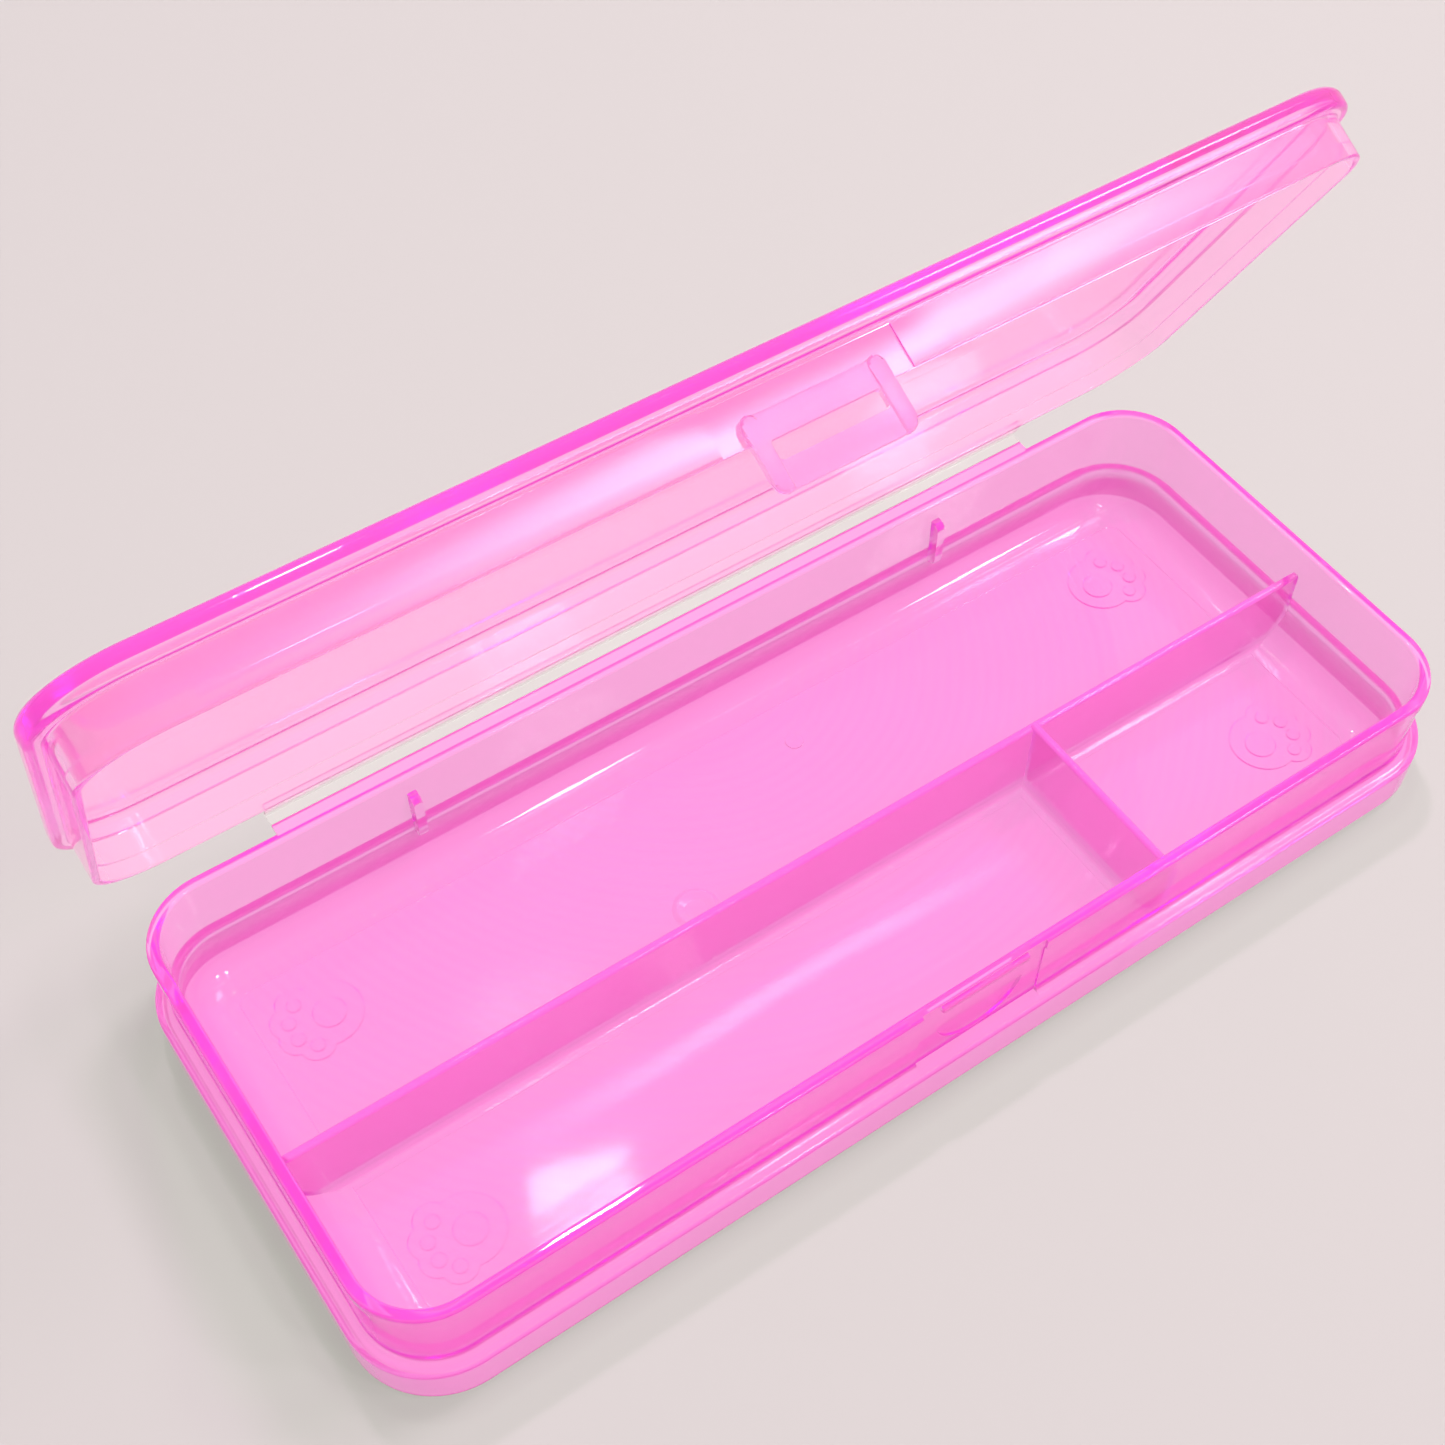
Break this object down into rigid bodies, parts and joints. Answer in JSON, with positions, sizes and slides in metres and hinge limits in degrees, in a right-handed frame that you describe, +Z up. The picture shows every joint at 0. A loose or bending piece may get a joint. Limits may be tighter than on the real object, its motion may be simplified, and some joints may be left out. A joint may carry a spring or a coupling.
{
  "type": "pencil case",
  "caption": "Long flat plastic pencil case with an open tray, inner dividers, a hinged lid and a snap latch at the front.",
  "frame": {"origin": "middle of the flat ring the tray stands on, at table height", "axes": "+X to the right along the length, +Y to the hinge at the back, +Z up"},
  "size_m": [0.2074, 0.0965, 0.1063],
  "materials": {
    "plastic": "glossy tinted see-through polypropylene",
    "web": "glossy see-through polypropylene worked thin at the hinge"
  },
  "bodies": {
    "tray": {"tray_shell": "plastic", "long_divider": "plastic", "cross_divider": "plastic", "rear_rib_left": "plastic", "rear_rib_right": "plastic", "foot_back_left": "plastic", "foot_back_right": "plastic", "foot_front_left": "plastic", "foot_front_right": "plastic", "catch_ridge": "plastic", "tray_hinge_leaf": "plastic", "hinge_web": "web"},
    "lid": {"lid_shell": "plastic", "lid_hinge_leaf": "plastic", "latch_root": "plastic"},
    "latch": {"latch_tab": "plastic"}
  },
  "joints": [
    {"name": "lid_hinge", "type": "hinge", "parent": "tray", "child": "lid", "pos_m": [0, 0.0446, 0.02365], "axis": [-1, 0, 0], "range_deg": [-63, 117], "deforming": ["hinge_web"]},
    {"name": "latch_flex", "type": "hinge", "parent": "lid", "child": "latch", "pos_m": [0, 0.00537, 0.10097], "axis": [-1, 0, 0], "range_deg": [0, 18], "stiffness_Nm_per_rad": 0.12}
  ]
}
